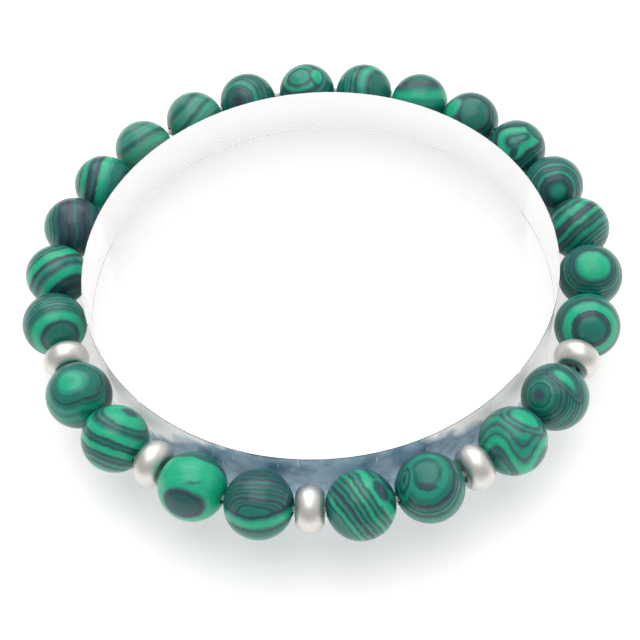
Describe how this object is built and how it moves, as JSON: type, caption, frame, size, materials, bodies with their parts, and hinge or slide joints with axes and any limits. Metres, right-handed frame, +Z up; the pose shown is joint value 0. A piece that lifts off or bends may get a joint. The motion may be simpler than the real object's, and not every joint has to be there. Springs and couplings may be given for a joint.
{
  "type": "beaded bracelet on a clear display disc",
  "caption": "Round stretch bracelet of banded green stone beads and satin steel rondelles on an elastic thread, held round a solid clear display disc that stands on its flat lower face.",
  "frame": {"origin": "centre of the display disc's flat lower face, on the table it stands on", "axes": "+Z up along the disc's and the bracelet's common axis, -Y towards the front rondelle, +X to the right seen from the front"},
  "size_m": [0.0759, 0.0762, 0.0138],
  "materials": {
    "banded_stone": "malachite, bright and dark green bands, polished to a soft gloss",
    "satin_steel": "satin stainless steel",
    "clear_elastic": "clear elastic thread",
    "clear_acrylic": "clear acrylic, polished faces and a wall that is hazy in front"
  },
  "bodies": {
    "root": {"stone_bead_01": "banded_stone", "stone_bead_02": "banded_stone", "stone_bead_03": "banded_stone", "stone_bead_04": "banded_stone", "stone_bead_05": "banded_stone", "stone_bead_06": "banded_stone", "stone_bead_07": "banded_stone", "stone_bead_08": "banded_stone", "stone_bead_09": "banded_stone", "stone_bead_10": "banded_stone", "stone_bead_11": "banded_stone", "stone_bead_12": "banded_stone", "stone_bead_13": "banded_stone", "stone_bead_14": "banded_stone", "stone_bead_15": "banded_stone", "stone_bead_16": "banded_stone", "stone_bead_17": "banded_stone", "stone_bead_18": "banded_stone", "stone_bead_19": "banded_stone", "stone_bead_20": "banded_stone", "stone_bead_21": "banded_stone", "stone_bead_22": "banded_stone", "stone_bead_23": "banded_stone", "stone_bead_24": "banded_stone", "steel_rondelle_1": "satin_steel", "steel_rondelle_2": "satin_steel", "steel_rondelle_3": "satin_steel", "steel_rondelle_4": "satin_steel", "steel_rondelle_5": "satin_steel", "elastic_thread": "clear_elastic", "display_disc": "clear_acrylic"}
  },
  "joints": []
}
